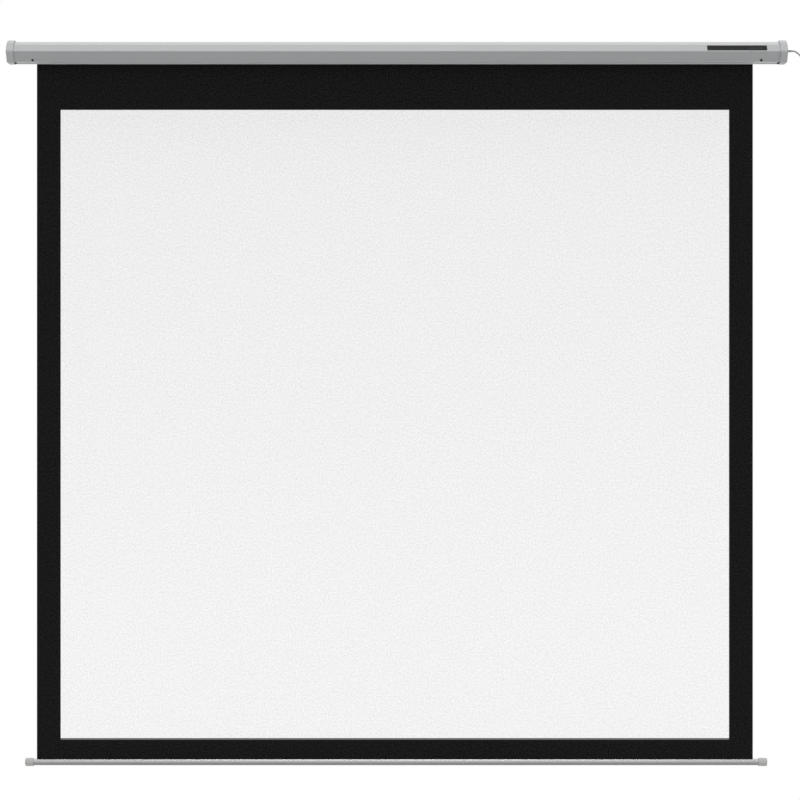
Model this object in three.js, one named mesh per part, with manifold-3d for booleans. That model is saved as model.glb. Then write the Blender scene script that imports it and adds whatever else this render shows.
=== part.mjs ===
// A motorized projector screen that hangs on a wall, let fully down.
// Millimetres. +Z is up, the front faces -Y and +X is to the right seen from the front.
// The origin is the middle of the case's flat back, on the wall.
import * as THREE from "three";
import { mergeVertices } from "three/addons/utils/BufferGeometryUtils.js";
import Module from "manifold-3d";

// Fits
const touchGap = 0.3; // between pieces that rest on each other
const runningGap = 1; // beside a piece that turns
const overrun = 6; // how far a cutter passes the face that it cuts

// Screen cloth: the white picture area and the black border round it
const pictureWidth = 1867;
const pictureHeight = 1755;
const sideBorder = 66.5;
const topBorder = 157.2; // from the roller's axis
const footBorder = 66.4; // down to the bottom bar's axis
const clothShift = -5.9; // of the cloth's middle from the case's middle
const clothBase = 0.25;
const clothCoat = 0.1;

// Roller
const tubeRadius = 20;
const tubeWall = 0.8;
const tubeMargin = 3.3; // of the tube past the cloth at the motor's end
const keyWidth = 6;
const keyDepth = 1;
const spareTurns = 2;
const rollClearance = 0.3;

// Case: how much farther than its wall each facet lies from the full roll, and each facet's slope
const caseWall = 0.8;
const facets = {
  back: { spare: 7.2, degrees: 180 },
  top: { spare: 3.7, degrees: 90 },
  crown: { spare: 0.05, degrees: 63.5 },
  upper: { spare: 1.1, degrees: 43.5 },
  lower: { spare: 0.6, degrees: -43 },
  under: { spare: 0.7, degrees: -90 },
};
const bendRadius = 2;
const lipHeight = 1.8;
const lipSetback = 1.5;
const slotWidth = 16;
const hemHeight = 4; // of the slot's rear edge, turned up inside
const hemDrop = 2.8; // of its front edge, turned down
const sideRoom = 19.5; // from half the cloth's width to a bracket's inner face
const endRoom = 66.5; // from a bracket's inner face to the end of the cap

// End caps: their rim stands out past each facet of the case
const capLength = 20.5;
const capCollar = 5;
const capWall = 2.5;
const capLedge = 1.5;
const capEdgeRadius = 4;
const capCornerRadius = 7;
const capRims = { back: 0, top: 4.5, crown: 4, upper: 3, lower: 3, under: 1.5 };
const tongueLength = 16;
const tongueWidth = 10;
const tongueThickness = 5;

// Screws
const screwShares = { edge: 0.35, crown: 0.45, tip: 0.4 }; // of the head's height and radius and the shank
const capScrew = { shank: 1.6, length: 7.5, head: 2.8, height: 3.6 };
const bracketScrew = { shank: 1.6, length: 6, head: 3.4, height: 2.2 };
const bracketScrewRise = 5; // of its middle above the toe, along the lower facet

// Brackets and hangers
const bracketPlate = 2.5;
const flangeLength = 12;
const backFlangeHeight = 36;
const flangeRise = 2.4; // of the front flange's foot above the toe
const hangerPlate = { thickness: 2, height: 40, tail: 22, joggle: 2, margin: 0.5 };
const keyhole = { entry: 3.75, slot: 2.25, rise: 8 };

// Motor
const motorRadius = 17.5;
const motorLength = 470;
const motorBore = 12.2;
const motorEnd = 24; // solid part beside the head
const gearboxLength = 60;
const headRadius = 21.5;
const bossSide = 14;
const bossReach = 6; // past the bracket's outer face
const shaftRadius = 5;
const shaftFlat = 1.2;
const shaftReach = 26;
const shaftDepth = 20;
const wheelLength = 20;
const wheelHub = 8.5;
const wheelRim = 2.6;
const wheelSpoke = 3;
const wheelSpokes = 6;
const crownFlange = 2.6;
const crownSleeve = 18;
const crownGap = 0.4; // round the motor's tube
const flangeRadius = 21.4;
const setScrew = { radius: 2.6, length: 7, slotWidth: 1, slotDepth: 1.6, spacing: 8.5 };
const setScrewPocket = 8.2;
const setScrewDegrees = 37; // behind straight down

// Idler
const idlerSleeve = 32;
const idlerFlange = 2.2;
const idlerWall = 3;
const idlerHub = 8;
const idlerRibs = 6;
const idlerRib = 2;
const pinRadius = 4.5;
const pinEdge = 0.9;
const pinReach = 4; // past the bracket's outer face
const bushRadius = 8;
const bushFlange = { radius: 10.5, thickness: 1.5 };

// Control box
const boxSize = { length: 34, depth: 28, height: 19, corner: 2.5, seam: 1 };
const boxLidShare = 0.72; // of its length, up to the lid's seam
const boxBack = 3.2; // behind it to the wall
const boxRoom = 3; // beside the motor's boss
const boxGland = { radius: 3.2, length: 3 };

// Bottom bar
const barMargins = { left: 8.4, right: 15.6 }; // from the cloth's edges to its caps
const barRadius = 9.2;
const barWall = 0.8;
const barSlot = 2.2;
const barCapRadius = 11.45;
const barCapLength = 24;
const barCapSeat = 11; // of the tube in the cap
const barCapEdge = 4.5;
const barCapMouthEdge = 0.9;
const hemRadius = 2.8;

// Cord
const cordDiameter = 4.4;
const cordRise = 4.5; // of its way out above the roller's axis
const cordShift = -2; // of its way out from the roller's axis
const gland = { collar: 6.2, collarLength: 2.6, root: 3.3, tip: 2.4, length: 14.6, clip: 6.4 };
const glandNeck = 4.4;
const glandClip = 2.4;
const glandGroove = { depth: 0.35, width: 0.8, count: 4, startShare: 0.6, endShare: 1.5 };
const cordSides = 10;
const coilSides = 6;
const coilSteps = 24; // in one turn
const coilTurns = 7.25;
const climbTurns = 0.5; // in which the coil passes from one layer to the next
const coilRadius = 35.4;
const coilPitch = 4.9; // between neighbouring loops and between the two layers
const tailDrop = 20;
const tie = { width: 8, thickness: 1.4, room: 0.8, degrees: 62, corner: 2 };
const plug = { width: 35, thickness: 13.6, length: 34, neck: 4.2, neckFoot: 5.25, neckLength: 16 };
const plugPin = { radius: 2, length: 19, spacing: 18.6, seat: 6, tip: 0.8 };
const plugSquareness = 0.62; // exponent of its outline, at which 1 is an ellipse
const plugSides = 24;

// The plug's sections from its neck to its face, as shares of its length, thickness and width
const plugShares = [
  [0.09, 0.44, 0.3],
  [0.19, 0.49, 0.43],
  [0.26, 0.5, 0.47],
  [0.8, 0.5, 0.5],
  [1, 0.47, 0.48],
];

// The cord's way from the gland to its coil, chosen by hand: along X and Z from its way out
const cordRoute = [
  [0, 0],
  [3, -0.1],
  [6, -0.65],
  [9.5, -2],
  [13.5, -4.6],
  [18.5, -8.9],
  [24, -14.9],
  [29.2, -22.6],
  [33.8, -32.4],
  [37.6, -44],
  [40.3, -56],
  [42.2, -66.5],
  [43.9, -75],
  [46.2, -81.6],
  [50.2, -86.4],
  [55.5, -89.5],
  [61.6, -90.6],
  [66, -90.6],
];

// Sizes worked out from the ones above
const radians = THREE.MathUtils.degToRad;
const clothWidth = pictureWidth + 2 * sideBorder;
const clothDrop = topBorder + pictureHeight + footBorder; // down to the bottom bar's axis
const clothThickness = clothBase + clothCoat;
const wrapInner = tubeRadius + touchGap;
const wrapRadius = wrapInner + spareTurns * clothThickness;
const rollRadius = Math.sqrt(wrapRadius ** 2 + (clothDrop * clothThickness) / Math.PI);
const facetReach = (facet) => rollRadius + rollClearance + caseWall + facet.spare;
const caseHeight = facetReach(facets.top) + facetReach(facets.under);
const caseTop = caseHeight / 2;
const caseBottom = -caseHeight / 2;
const axisY = -facetReach(facets.back);
const axisZ = caseTop - facetReach(facets.top);
const bracketX = clothWidth / 2 + sideRoom;
const capEnd = bracketX + endRoom;
const capInner = capEnd - capLength;
const ledgeX = capInner + capCollar + touchGap;
const caseEnd = capInner + capCollar;
const clothLeft = clothShift - clothWidth / 2;
const clothRight = clothShift + clothWidth / 2;
const clothBack = axisY + wrapRadius;
const clothMid = clothBack - clothBase;
const clothFront = clothBack - clothThickness;
const clothTop = axisZ - Math.sqrt((wrapRadius + touchGap) ** 2 - (wrapRadius - clothBase) ** 2);
const slotFront = clothBack - slotWidth / 2;
const slotRear = clothBack + slotWidth / 2;
const tubeInner = tubeRadius - tubeWall;
const fitRadius = tubeInner - touchGap; // of what goes into the tube
const barY = clothBack - clothBase / 2;
const barZ = axisZ - clothDrop;
const barInner = barRadius - barWall;
const barMouths = { left: clothLeft - barMargins.left, right: clothRight + barMargins.right };
const crownX = clothRight + tubeMargin; // right end of the roller's tube
const headX = crownX + touchGap + crownFlange + runningGap;
const motorX = headX - touchGap - motorLength; // left end of the motor
const rollerX = -bracketX + bushFlange.thickness + touchGap + runningGap + idlerFlange + touchGap;

// Solids
const wasm = await Module();
wasm.setup();
const alongXBasis = new THREE.Matrix4().makeBasis(
  new THREE.Vector3(0, 1, 0),
  new THREE.Vector3(0, 0, 1),
  new THREE.Vector3(1, 0, 0)
);
const aboutXBasis = new THREE.Matrix4().makeBasis(
  new THREE.Vector3(0, 1, 0),
  new THREE.Vector3(1, 0, 0),
  new THREE.Vector3(0, 0, -1)
);

function solidOf(geometry) {
  const bare = geometry.clone();
  bare.deleteAttribute("normal");
  bare.deleteAttribute("uv");
  const merged = mergeVertices(bare);
  const vertProperties = new Float32Array(merged.attributes.position.array);
  const triVerts = new Uint32Array(merged.index.array);
  return new wasm.Manifold(new wasm.Mesh({ numProp: 3, vertProperties, triVerts }));
}

function geometryOf(solid) {
  const mesh = solid.getMesh();
  const geometry = new THREE.BufferGeometry();
  geometry.setAttribute("position", new THREE.BufferAttribute(mesh.vertProperties, mesh.numProp));
  geometry.setIndex(new THREE.BufferAttribute(mesh.triVerts, 1));
  return geometry;
}

// Joins the bodies and cuts the cutters from them.
function carved(bodies, cutters = []) {
  let solid = solidOf(bodies[0]);
  bodies.slice(1).forEach((body) => {
    solid = solid.add(solidOf(body));
  });
  cutters.forEach((cutter) => {
    solid = solid.subtract(solidOf(cutter));
  });
  return geometryOf(solid);
}

// A section in Y and Z, extruded along X from start to end.
function prism(points, start, end, holes = []) {
  const shape = new THREE.Shape(points);
  shape.holes = holes.map((hole) => new THREE.Path(hole));
  const geometry = new THREE.ExtrudeGeometry(shape, { depth: end - start, bevelEnabled: false });
  return geometry.applyMatrix4(alongXBasis).translate(start, 0, 0);
}

// A profile of [radius, x] pairs turned about an axis along X.
function turned(profile, y = axisY, z = axisZ, sides = 48) {
  const points = profile.map(([radius, x]) => new THREE.Vector2(radius, x));
  const geometry = new THREE.LatheGeometry(points, sides);
  return geometry.applyMatrix4(aboutXBasis).translate(0, y, z);
}

function ring(inner, outer, start, end, sides = 48) {
  const profile = [
    [inner, start],
    [outer, start],
    [outer, end],
    [inner, end],
    [inner, start],
  ];
  return turned(profile, axisY, axisZ, sides);
}

function rod(radius, start, end, y = axisY, z = axisZ, sides = 32) {
  const profile = [
    [0, start],
    [radius, start],
    [radius, end],
    [0, end],
  ];
  return turned(profile, y, z, sides);
}

function box(x0, x1, y0, y1, z0, z1) {
  const geometry = new THREE.BoxGeometry(x1 - x0, y1 - y0, z1 - z0);
  return geometry.translate((x0 + x1) / 2, (y0 + y1) / 2, (z0 + z1) / 2);
}

function material(color, roughness, metalness = 0) {
  return new THREE.MeshStandardMaterial({ color, roughness, metalness });
}

const paint = material("#d9dadc", 0.38, 0.1);
const capPlastic = material("#d2d3d5", 0.42);
const blackSteel = material("#141415", 0.45, 0.6);
const zinc = material("#b9bcc0", 0.35, 0.9);
const motorPaint = material("#2a2b2e", 0.5, 0.2);
const blackPlastic = material("#1b1b1d", 0.55);
const greyPlastic = material("#8d9092", 0.5);
const brass = material("#c9a552", 0.3, 1);
const blackCloth = material("#181818", 0.9);
const whiteCoat = material("#f1f1f0", 0.85);
const cordPlastic = material("#828385", 0.5);

const screen = new THREE.Group();

function addPiece(name, geometry, surface, mirroredX = false) {
  const mesh = new THREE.Mesh(geometry, surface);
  mesh.name = name;
  mesh.scale.x = mirroredX ? -1 : 1;
  screen.add(mesh);
  return mesh;
}

// The case's section

// Where two facets of the case meet, each moved out from the roller by its own margin.
function facetCorner(first, second, firstMargin, secondMargin) {
  const [a, b] = [radians(facets[first].degrees), radians(facets[second].degrees)];
  const [da, db] = [facetReach(facets[first]) + firstMargin, facetReach(facets[second]) + secondMargin];
  const across = Math.sin(a - b);
  const front = (db * Math.sin(a) - da * Math.sin(b)) / across;
  const up = (db * Math.cos(a) - da * Math.cos(b)) / -across;
  return new THREE.Vector2(axisY - front, axisZ + up);
}

// The lower facet at a height.
function lowerFacetAt(height, margin) {
  const slope = radians(facets.lower.degrees);
  const reach = facetReach(facets.lower) + margin;
  return axisY - (reach - (height - axisZ) * Math.sin(slope)) / Math.cos(slope);
}

const lipY = lowerFacetAt(caseBottom + lipHeight, 0) + lipSetback;

// The case's closed section moved inwards by an inset, its back by another.
function caseSection(inset, backInset = inset) {
  const toeZ = caseBottom + lipHeight + inset;
  return [
    facetCorner("back", "top", -backInset, -inset),
    facetCorner("top", "crown", -inset, -inset),
    facetCorner("crown", "upper", -inset, -inset),
    facetCorner("upper", "lower", -inset, -inset),
    new THREE.Vector2(lowerFacetAt(toeZ, -inset), toeZ),
    new THREE.Vector2(lipY + inset, toeZ),
    new THREE.Vector2(lipY + inset, caseBottom + inset),
    new THREE.Vector2(-backInset, caseBottom + inset),
  ];
}

// The section's open path from the slot's front hem round to its rear one.
function casePath(inset) {
  const round = caseSection(inset);
  const [backTop, crown, shoulder, ridge, toe, lipTop, lipFoot, backFoot] = round;
  return [
    new THREE.Vector2(slotFront - caseWall + inset, caseBottom - hemDrop),
    new THREE.Vector2(slotFront - caseWall + inset, caseBottom + inset),
    lipFoot,
    lipTop,
    toe,
    ridge,
    shoulder,
    crown,
    backTop,
    backFoot,
    new THREE.Vector2(slotRear + inset, caseBottom + inset),
    new THREE.Vector2(slotRear + inset, caseBottom + hemHeight),
  ];
}

const cornerRoomShare = 0.45; // of the shorter edge, taken up by one rounded corner at most

// Rounds the corners of a path with curves.
function rounded(points, radius, closed, steps = 3) {
  const count = points.length;
  return points.flatMap((corner, i) => {
    if (!closed && (i === 0 || i === count - 1)) return [corner];
    const before = points[(i + count - 1) % count];
    const after = points[(i + 1) % count];
    const arriving = corner.clone().sub(before);
    const leaving = after.clone().sub(corner);
    const turn = Math.abs(arriving.angleTo(leaving));
    const room = Math.min(arriving.length(), leaving.length()) * cornerRoomShare;
    const reach = Math.min(radius * Math.tan(turn / 2), room);
    const start = corner.clone().addScaledVector(arriving.normalize(), -reach);
    const end = corner.clone().addScaledVector(leaving.normalize(), reach);
    return new THREE.QuadraticBezierCurve(start, corner, end).getPoints(steps);
  });
}

// Where the screws go
const capScrewX = capInner - touchGap - capScrew.head - touchGap;
const capScrewY = lipY + caseWall + bendRadius / 2 + tongueWidth / 2;
const bracketScrewX = bracketX - flangeLength / 2;
const lowerSlope = radians(facets.lower.degrees);
const lowerNormal = new THREE.Vector3(0, -Math.cos(lowerSlope), Math.sin(lowerSlope));
const lowerUp = new THREE.Vector3(0, Math.sin(lowerSlope), Math.cos(lowerSlope));
const toeZ = caseBottom + lipHeight;
const bracketScrewSeat = new THREE.Vector3(0, lowerFacetAt(toeZ, 0), toeZ).addScaledVector(
  lowerUp,
  bracketScrewRise
);

// A pan-head screw along +Z, its head's seat at the origin and its shank below.
function screwGeometry({ shank, length, head, height }) {
  const edge = height * screwShares.edge;
  const dome = new THREE.QuadraticBezierCurve(
    new THREE.Vector2(head, height - edge),
    new THREE.Vector2(head, height),
    new THREE.Vector2(head * screwShares.crown, height)
  ).getPoints(4);
  const points = [
    new THREE.Vector2(0, -length),
    new THREE.Vector2(shank * screwShares.tip, -length),
    new THREE.Vector2(shank, shank - length),
    new THREE.Vector2(shank, 0),
    new THREE.Vector2(head, 0),
    ...dome,
    new THREE.Vector2(0, height),
  ];
  return new THREE.LatheGeometry(points, 20).rotateX(Math.PI / 2);
}

function cylinderAlong(radius, from, direction, length, sides = 24) {
  const geometry = new THREE.CylinderGeometry(radius, radius, length, sides);
  geometry.translate(0, length / 2, 0);
  const turn = new THREE.Quaternion().setFromUnitVectors(new THREE.Vector3(0, 1, 0), direction);
  return geometry.applyQuaternion(turn).translate(from.x, from.y, from.z);
}

function bracketScrewHole(x, extra) {
  const start = bracketScrewSeat.clone().addScaledVector(lowerNormal, overrun);
  start.x = x;
  const length = overrun + bracketScrew.length + overrun;
  return cylinderAlong(bracketScrew.shank + extra, start, lowerNormal.clone().negate(), length);
}

function capScrewHole(x) {
  const start = new THREE.Vector3(x, capScrewY, caseBottom - overrun);
  const up = new THREE.Vector3(0, 0, 1);
  return cylinderAlong(capScrew.shank + touchGap, start, up, overrun + capScrew.length + overrun);
}

function makeCase() {
  const outer = rounded(casePath(0), bendRadius, false);
  const inner = rounded(casePath(caseWall), bendRadius - caseWall, false);
  const shell = prism([...outer, ...inner.reverse()], -caseEnd, caseEnd);
  const holes = [-1, 1].flatMap((side) => [
    bracketScrewHole(side * bracketScrewX, touchGap),
    capScrewHole(side * capScrewX),
  ]);
  const [hemEnd, past] = [capInner - touchGap, caseEnd + overrun];
  const hemRoom = [
    [-past, -hemEnd],
    [hemEnd, past],
  ].map(([start, end]) => {
    const front = slotFront - caseWall - bendRadius;
    return box(start, end, front, slotFront + overrun, caseBottom - hemDrop - overrun, caseBottom);
  });
  addPiece("case_shell", carved([shell], [...holes, ...hemRoom]), paint);
}

// End caps

function capOutline() {
  const order = ["back", "top", "crown", "upper", "lower", "under"];
  const corners = order.map((name, i) => {
    const next = order[(i + 1) % order.length];
    return facetCorner(name, next, capRims[name], capRims[next]);
  });
  const [backTop, ...front] = rounded(corners.slice(0, 5), capCornerRadius, false, 5);
  return [backTop, ...front, corners[5]];
}

function capBody() {
  const shape = new THREE.Shape(capOutline());
  const geometry = new THREE.ExtrudeGeometry(shape, {
    depth: capLength + overrun - 2 * capEdgeRadius,
    bevelThickness: capEdgeRadius,
    bevelSize: capEdgeRadius,
    bevelOffset: -capEdgeRadius,
    bevelSegments: 4,
  });
  geometry.applyMatrix4(alongXBasis);
  return geometry.translate(capEnd - capLength - overrun + capEdgeRadius, 0, 0);
}

function capGeometry(hole) {
  const tongueStart = capInner - tongueLength;
  const tongueFloor = caseBottom + caseWall + touchGap;
  const tongue = box(
    tongueStart,
    capEnd - capWall,
    capScrewY - tongueWidth / 2,
    capScrewY + tongueWidth / 2,
    tongueFloor,
    tongueFloor + tongueThickness
  );
  const [far, deep] = [caseHeight, capEnd - capWall];
  const shellCutters = [
    box(capInner - 2 * overrun, capInner, axisY - 2 * far, overrun, caseBottom - far, caseTop + far),
    prism(rounded(caseSection(-touchGap, -overrun), bendRadius, true), capInner - overrun, ledgeX),
    prism(caseSection(capLedge, -overrun), capInner - overrun, deep),
  ];
  const shell = solidOf(carved([capBody()], shellCutters));
  const joined = shell.add(solidOf(tongue)).subtract(solidOf(capScrewHole(capScrewX)));
  return geometryOf(hole ? joined.subtract(solidOf(hole)) : joined);
}

function makeCaps() {
  const cordHole = rod(glandNeck + touchGap, capEnd - 2 * capWall, capEnd + overrun, cordY, cordZ, 28);
  addPiece("end_cap_right", capGeometry(cordHole), capPlastic);
  addPiece("end_cap_left", capGeometry(null), capPlastic, true);
}

function makeScrews() {
  [-1, 1].forEach((side) => {
    const name = side < 0 ? "left" : "right";
    const under = addPiece("cap_screw_" + name, screwGeometry(capScrew), blackSteel);
    under.rotation.x = Math.PI;
    under.position.set(side * capScrewX, capScrewY, caseBottom - touchGap);
    const front = addPiece("bracket_screw_" + name, screwGeometry(bracketScrew), blackSteel);
    front.quaternion.setFromUnitVectors(new THREE.Vector3(0, 0, 1), lowerNormal);
    front.position.copy(bracketScrewSeat).addScaledVector(lowerNormal, touchGap);
    front.position.x = side * bracketScrewX;
  });
}

// Brackets that carry the roller, each a plate across the case with two flanges

function bracketGeometry(hole) {
  const inset = caseWall + touchGap;
  const outline = rounded(caseSection(inset, caseWall), bendRadius, true, 2);
  const plate = prism(outline, bracketX, bracketX + bracketPlate);
  const flangeFoot = bracketX - flangeLength;
  const root = bracketX + bracketPlate;
  const foot = caseBottom + lipHeight + flangeRise;
  const corners = [
    [foot, inset],
    [axisZ - flangeRise, inset],
    [axisZ - flangeRise, inset + bracketPlate],
    [foot, inset + bracketPlate],
  ];
  const strip = corners.map(([z, depth]) => new THREE.Vector2(lowerFacetAt(z, -depth), z));
  const front = prism(strip, flangeFoot, root);
  const back = box(
    flangeFoot,
    root,
    -caseWall - bracketPlate,
    -caseWall,
    axisZ - backFlangeHeight / 2,
    axisZ + backFlangeHeight / 2
  );
  const notch = box(
    flangeFoot - overrun,
    root + overrun,
    slotFront - bendRadius,
    slotRear + bendRadius,
    caseBottom - overrun,
    caseBottom + hemHeight + touchGap
  );
  return carved([plate, front, back], [bracketScrewHole(bracketScrewX, touchGap), notch, hole]);
}

function makeBrackets() {
  const half = bossSide / 2 + touchGap;
  const [start, end] = [bracketX - overrun, bracketX + bracketPlate + overrun];
  const square = box(start, end, axisY - half, axisY + half, axisZ - half, axisZ + half);
  addPiece("motor_bracket", bracketGeometry(square), zinc);
  const round = rod(bushRadius + touchGap, start, end);
  addPiece("idler_bracket", bracketGeometry(round), zinc, true);
}

// Hanger plates with a keyhole: the tail lies inside the case's back, and past a small joggle
// the head lies flush with that back, inside the cap

const hangerEnd = capEnd - capWall - touchGap;
const keyholeX = (caseEnd + hangerEnd) / 2 + hangerPlate.margin;

function hangerGeometry() {
  const { thickness, height, tail, joggle } = hangerPlate;
  const [low, high] = [axisZ - height / 2, axisZ + height / 2];
  const headStart = caseEnd + touchGap;
  const tailEnd = headStart + joggle;
  const tailPlate = box(caseEnd - tail, tailEnd, -caseWall - thickness, -caseWall, low, high);
  const headPlate = box(headStart, hangerEnd, -thickness, 0, low, high);
  const back = new THREE.Vector3(0, 1, 0);
  const from = new THREE.Vector3(keyholeX, -thickness - overrun, axisZ);
  const through = thickness + 2 * overrun;
  const entry = cylinderAlong(keyhole.entry, from, back, through, 28);
  const top = from.clone().setZ(axisZ + keyhole.rise);
  const slotEnd = cylinderAlong(keyhole.slot, top, back, through, 28);
  const slot = box(
    keyholeX - keyhole.slot,
    keyholeX + keyhole.slot,
    from.y,
    from.y + through,
    axisZ,
    axisZ + keyhole.rise
  );
  return carved([tailPlate, headPlate], [entry, slotEnd, slot]);
}

function makeHangers() {
  addPiece("hanger_plate_right", hangerGeometry(), zinc);
  addPiece("hanger_plate_left", hangerGeometry(), zinc, true);
}

// Roller

// A round outline with the key groove sunk in at its back, a groove's depth and width given.
function keyedCircle(radius, depth, width, sides = 48) {
  const half = Math.asin(width / 2 / radius);
  const points = [];
  for (let i = 0; i <= sides; i += 1) {
    const angle = half + ((2 * Math.PI - 2 * half) * i) / sides;
    points.push(new THREE.Vector2(axisY + radius * Math.cos(angle), axisZ + radius * Math.sin(angle)));
  }
  const floor = axisY + radius * Math.cos(half) - depth;
  points.push(new THREE.Vector2(floor, axisZ - width / 2));
  points.push(new THREE.Vector2(floor, axisZ + width / 2));
  return points;
}

const insideKey = (radius) => keyedCircle(radius, keyDepth, keyWidth + 2 * (tubeRadius - radius));

function makeRoller() {
  const tube = prism(
    keyedCircle(tubeRadius, keyDepth, keyWidth),
    rollerX,
    crownX,
    [insideKey(tubeInner)]
  );
  addPiece("roller_tube", tube, zinc);
  addPiece("fabric_wrap", ring(wrapInner, wrapRadius, clothLeft, clothRight, 64), blackCloth);
}

function makeDrive() {
  const wheelEnd = motorX - runningGap;
  const wheelStart = wheelEnd - wheelLength;
  const rim = prism(insideKey(fitRadius), wheelStart, wheelEnd);
  const hollow = ring(wheelHub, fitRadius - wheelRim, wheelStart - overrun, wheelEnd + overrun, 40);
  const spokes = [];
  for (let i = 0; i < wheelSpokes; i += 1) {
    const spoke = new THREE.BoxGeometry(wheelLength, fitRadius - wheelRim / 2 - wheelHub / 2, wheelSpoke);
    spoke.translate(0, (fitRadius - wheelRim / 2 + wheelHub / 2) / 2, 0);
    spoke.rotateX((2 * Math.PI * (i + 0.5)) / wheelSpokes);
    spokes.push(spoke.translate((wheelStart + wheelEnd) / 2, axisY, axisZ));
  }
  const open = solidOf(rim).subtract(solidOf(hollow));
  const spoked = spokes.reduce((whole, spoke) => whole.add(solidOf(spoke)), open);
  const bore = solidOf(shaftGeometry(touchGap, wheelStart - overrun, wheelEnd + overrun));
  addPiece("drive_wheel", geometryOf(spoked.subtract(bore)), blackPlastic);
  addPiece("motor_shaft", shaftGeometry(0, wheelEnd - shaftReach, motorX + shaftDepth), zinc);
}

// The motor's shaft with a flat along it.
function shaftGeometry(extra, start, end) {
  const round = rod(shaftRadius + extra, start, end, axisY, axisZ, 28);
  const flat = axisZ + shaftRadius - shaftFlat + extra;
  const reach = 2 * shaftRadius;
  const cutter = box(start - overrun, end + overrun, axisY - reach, axisY + reach, flat, flat + reach);
  return carved([round], [cutter]);
}

function makeMotor() {
  const gearboxEnd = motorX + gearboxLength;
  const shaftHole = rod(shaftRadius + touchGap, motorX - overrun, motorX + shaftDepth + touchGap);
  addPiece("motor_gearbox", carved([rod(motorRadius, motorX, gearboxEnd)], [shaftHole]), zinc);
  const start = gearboxEnd + touchGap;
  const end = headX - touchGap;
  const profile = [
    [motorBore, start],
    [motorRadius, start],
    [motorRadius, end],
    [0, end],
    [0, end - motorEnd],
    [motorBore, end - motorEnd],
    [motorBore, start],
  ];
  addPiece("motor_tube", turned(profile), motorPaint);
}

// The motor's head between the crown and its bracket, with a square boss and two set screws

const headEnd = bracketX - touchGap;
const setScrewAngle = radians(setScrewDegrees);
const setScrewAxis = new THREE.Vector3(0, Math.sin(setScrewAngle), -Math.cos(setScrewAngle));

function setScrewX(place) {
  return (headX + headEnd) / 2 + place * setScrew.spacing;
}

function setScrewPoint(place, radius) {
  const point = new THREE.Vector3(0, axisY, axisZ).addScaledVector(setScrewAxis, radius);
  return point.setX(setScrewX(place));
}

function makeHead() {
  const chamfer = (headRadius - motorRadius) / 3;
  const profile = [
    [0, headX],
    [headRadius - chamfer, headX],
    [headRadius, headX + chamfer],
    [headRadius, headEnd - chamfer],
    [headRadius - chamfer, headEnd],
    [0, headEnd],
  ];
  const half = bossSide / 2;
  const boss = box(
    headEnd - chamfer,
    bracketX + bracketPlate + bossReach,
    axisY - half,
    axisY + half,
    axisZ - half,
    axisZ + half
  );
  const pockets = [-0.5, 0.5].map((place) =>
    cylinderAlong(
      setScrew.radius + touchGap,
      setScrewPoint(place, headRadius - setScrewPocket),
      setScrewAxis,
      setScrewPocket + overrun
    )
  );
  addPiece("motor_head", carved([turned(profile), boss], pockets), blackPlastic);
}

function makeSetScrews() {
  const { radius, length, slotWidth: slot, slotDepth } = setScrew;
  ["limit_screw_up", "limit_screw_down"].forEach((name, i) => {
    const body = new THREE.CylinderGeometry(radius, radius, length, 24);
    body.translate(0, length / 2, 0);
    const cut = box(-2 * radius, 2 * radius, length - slotDepth, length + slotDepth, -slot / 2, slot / 2);
    const mesh = addPiece(name, carved([body], [cut]), brass);
    mesh.quaternion.setFromUnitVectors(new THREE.Vector3(0, 1, 0), setScrewAxis);
    const seat = headRadius - setScrewPocket + touchGap;
    mesh.position.copy(setScrewPoint(i - 0.5, seat));
  });
}

function makeCrown() {
  const inner = motorRadius + crownGap;
  const collar = ring(inner, flangeRadius, crownX + touchGap, crownX + touchGap + crownFlange);
  const sleeveEnd = crownX + touchGap + crownFlange / 2;
  const sleeve = prism(insideKey(fitRadius), crownX - crownSleeve, sleeveEnd);
  const bore = rod(inner, crownX - crownSleeve - overrun, sleeveEnd + overrun, axisY, axisZ, 48);
  addPiece("limit_crown", carved([sleeve, collar], [bore]), blackPlastic);
}

// Idler end: a ribbed cup in the tube, a pin through it and a flanged bush in the bracket

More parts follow.
